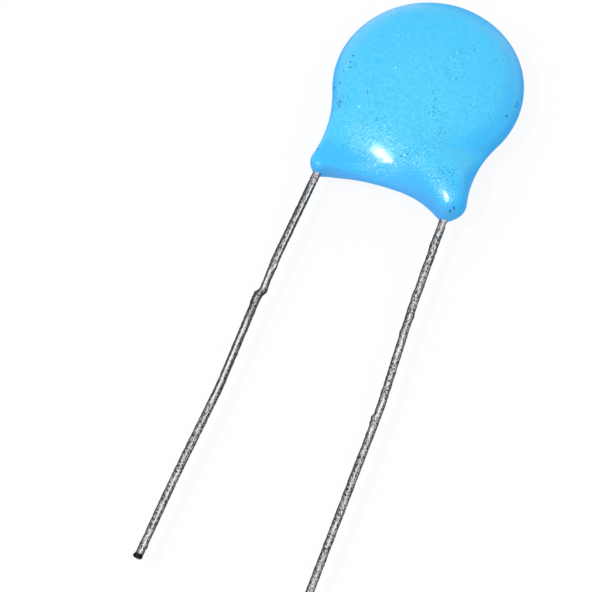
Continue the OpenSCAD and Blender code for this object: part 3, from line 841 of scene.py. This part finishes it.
def pressed_ceramic():
    """Pressed and fired ceramic: matt, mottled and finely specked."""
    f = new_finish("pressed_ceramic")
    place = f.place()
    mottle, speck = f.grain(place, 1.5, 3.0), f.grain(place, 14.0, 1.0)
    tone = f.blend(CERAMIC_PALE, CERAMIC_DARK, mottle)
    tone = f.blend(tone, CERAMIC_SPECK, speck.step(0.68, 0.76) * 0.6)
    return f.surface({"Base Color": tone, "Roughness": 0.55 + mottle * 0.2,
                      "Normal": f.bump(speck, 0.008 * MM, 0.5)})


# ---- operators

def settings():
    scene = bpy.context.scene
    return scene.capacitor_coat, scene.capacitor_leads, scene.capacitor_stage


class DipCoat(bpy.types.Operator):
    """Make the epoxy coat with its necks, feet and arched lower edge"""
    bl_idname = "capacitor.dip_coat"
    bl_label = "Dip the coat"

    def execute(self, context):
        coat, leads, _ = settings()
        points, faces = skin_mesh(Plan(coat, leads))
        skin = make_piece("epoxy_coat", points, faces, "coating")
        skin.data.materials.append(epoxy(coat))
        return {"FINISHED"}


class DrawLeads(bpy.types.Operator):
    """Make both leads, from the electrodes to the cut tips"""
    bl_idname = "capacitor.draw_leads"
    bl_label = "Draw the leads"

    def execute(self, context):
        coat, leads, _ = settings()
        plan = Plan(coat, leads)
        for side, name, node in ((FRONT, "front_wire", "front_lead"), (REAR, "rear_wire", "rear_lead")):
            points, faces, around = wire_mesh(plan, side)
            wire = make_piece(name, points, faces, node, around)
            wire.data.materials.append(tinned_wire(leads, side))
        return {"FINISHED"}


class DressCore(bpy.types.Operator):
    """Give the ceramic, the electrodes and the solder their finishes"""
    bl_idname = "capacitor.dress_core"
    bl_label = "Dress the core"

    def execute(self, context):
        silver, solder = plain_metal("fired_silver", *SILVER), plain_metal("solder", *SOLDER)
        finishes = {"ceramic_disc": pressed_ceramic(), "front_electrode": silver, "rear_electrode": silver,
                    "front_solder": solder, "rear_solder": solder}
        for node, finish in finishes.items():
            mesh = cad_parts[node].data
            mesh.materials.clear()
            mesh.materials.append(finish)
        return {"FINISHED"}


# Half the floor's width and how far it lies under the part, in metres
FLOOR_HALF, FLOOR_GAP = 1.5, 0.005 * MM
# The camera's sensor in millimetres, and the nearest and furthest it sees in metres
SENSOR, NEAREST, FURTHEST = 36.0, 0.01, 10.0
WHITE = (1, 1, 1)


class SetStage(bpy.types.Operator):
    """Lay the floor, hang the lamps and place the camera"""
    bl_idname = "capacitor.set_stage"
    bl_label = "Set the stage"

    def execute(self, context):
        coat, _, stage = settings()
        disc = Vector((0, 0, coat.thickness / 2))
        self.lay_floor(stage)
        self.light_sky(stage)
        self.hang_lamp(stage, disc)
        self.place_camera(stage, disc)
        context.scene.view_settings.view_transform = "Standard"
        return {"FINISHED"}

    @staticmethod
    def seen(f):
        """1 for what is seen straight, in a reflection or through glass, and 0 for light that spreads."""
        path = f.node("ShaderNodeLightPath").socket.node
        straight, glossy, through = (Signal(f, path.outputs[name]) for name in
                                     ("Is Camera Ray", "Is Glossy Ray", "Is Transmission Ray"))
        return straight.most(glossy).most(through)

    def lay_floor(self, stage):
        f = new_finish("pale_floor")
        matt = f.node("ShaderNodeBsdfDiffuse", inputs={"Color": stage.floor_white})
        white = f.node("ShaderNodeEmission", inputs={"Color": WHITE, "Strength": 1.0})
        pale = f.node("ShaderNodeMixShader", inputs={0: self.seen(f) * stage.floor_glow, 1: matt, 2: white})
        f.node("ShaderNodeOutputMaterial", inputs={"Surface": pale})
        mesh = bpy.data.meshes.new("floor")
        corners = [(-1, -1), (1, -1), (1, 1), (-1, 1)]
        mesh.from_pydata([(x * FLOOR_HALF, y * FLOOR_HALF, coat_low.z - FLOOR_GAP) for x, y in corners],
                         [], [(0, 1, 2, 3)])
        mesh.materials.append(f.owner)
        floor = bpy.data.objects.new("floor", mesh)
        bpy.context.scene.collection.objects.link(floor)

    def light_sky(self, stage):
        f = Finish(bpy.data.worlds.new("studio"))
        strength = stage.sky + self.seen(f) * (1 - stage.sky)
        sky = f.node("ShaderNodeBackground", inputs={"Color": WHITE, "Strength": strength})
        f.node("ShaderNodeOutputWorld", inputs={"Surface": sky})
        bpy.context.scene.world = f.owner

    def hang_lamp(self, stage, target):
        lamp = bpy.data.lights.new("key", "AREA")
        lamp.shape, lamp.size, lamp.energy = "DISK", stage.key_size, stage.key_power
        key = bpy.data.objects.new("key", lamp)
        way = direction(stage.key_azimuth, stage.key_elevation)
        aim = way.to_track_quat("Z", "Y").to_matrix().to_4x4()
        key.matrix_world = Matrix.Translation(target + stage.key_distance * way) @ aim
        bpy.context.scene.collection.objects.link(key)

    def place_camera(self, stage, disc):
        back = direction(stage.azimuth, stage.elevation)
        right = Vector((cos(stage.azimuth), sin(stage.azimuth), 0))
        up = back.cross(right)
        eye = disc + stage.distance * back
        sight = disc + stage.sight_right * right + stage.sight_up * up
        turn = (-back).rotation_difference((sight - eye).normalized()).to_matrix()
        lens = bpy.data.cameras.new("camera")
        lens.sensor_fit, lens.sensor_width = "HORIZONTAL", SENSOR
        lens.lens = SENSOR * stage.distance / stage.view_width
        lens.clip_start, lens.clip_end = NEAREST, FURTHEST
        camera = bpy.data.objects.new("camera", lens)
        aim = (turn @ Matrix((right, up, back)).transposed()).to_4x4()
        camera.matrix_world = Matrix.Translation(eye) @ aim
        bpy.context.scene.collection.objects.link(camera)
        bpy.context.scene.camera = camera


class CapacitorPanel(bpy.types.Panel):
    """Sizes, finishes and pieces of the capacitor"""
    bl_idname = "VIEW3D_PT_capacitor"
    bl_label = "Capacitor"
    bl_space_type = "VIEW_3D"
    bl_region_type = "UI"
    bl_category = "Capacitor"

    def draw(self, context):
        for title, group, operators in (
                ("Coat", context.scene.capacitor_coat, (DipCoat,)),
                ("Leads", context.scene.capacitor_leads, (DrawLeads, DressCore)),
                ("Stage", context.scene.capacitor_stage, (SetStage,))):
            box = self.layout.box()
            box.label(text=title)
            for name in group.bl_rna.properties.keys():
                if name not in ("rna_type", "name"):
                    box.prop(group, name)
            for operator in operators:
                box.operator(operator.bl_idname)


GROUPS = {"capacitor_coat": CoatSettings, "capacitor_leads": LeadSettings, "capacitor_stage": StageSettings}
CLASSES = (*GROUPS.values(), DipCoat, DrawLeads, DressCore, SetStage, CapacitorPanel)


def register():
    for cls in CLASSES:
        bpy.utils.register_class(cls)
    for name, group in GROUPS.items():
        setattr(bpy.types.Scene, name, PointerProperty(type=group))


def unregister():
    for name in GROUPS:
        delattr(bpy.types.Scene, name)
    for cls in reversed(CLASSES):
        bpy.utils.unregister_class(cls)


def main():
    register()
    bpy.ops.capacitor.dip_coat()
    bpy.ops.capacitor.draw_leads()
    bpy.ops.capacitor.dress_core()
    bpy.ops.capacitor.set_stage()


if __name__ == "__main__":
    main()
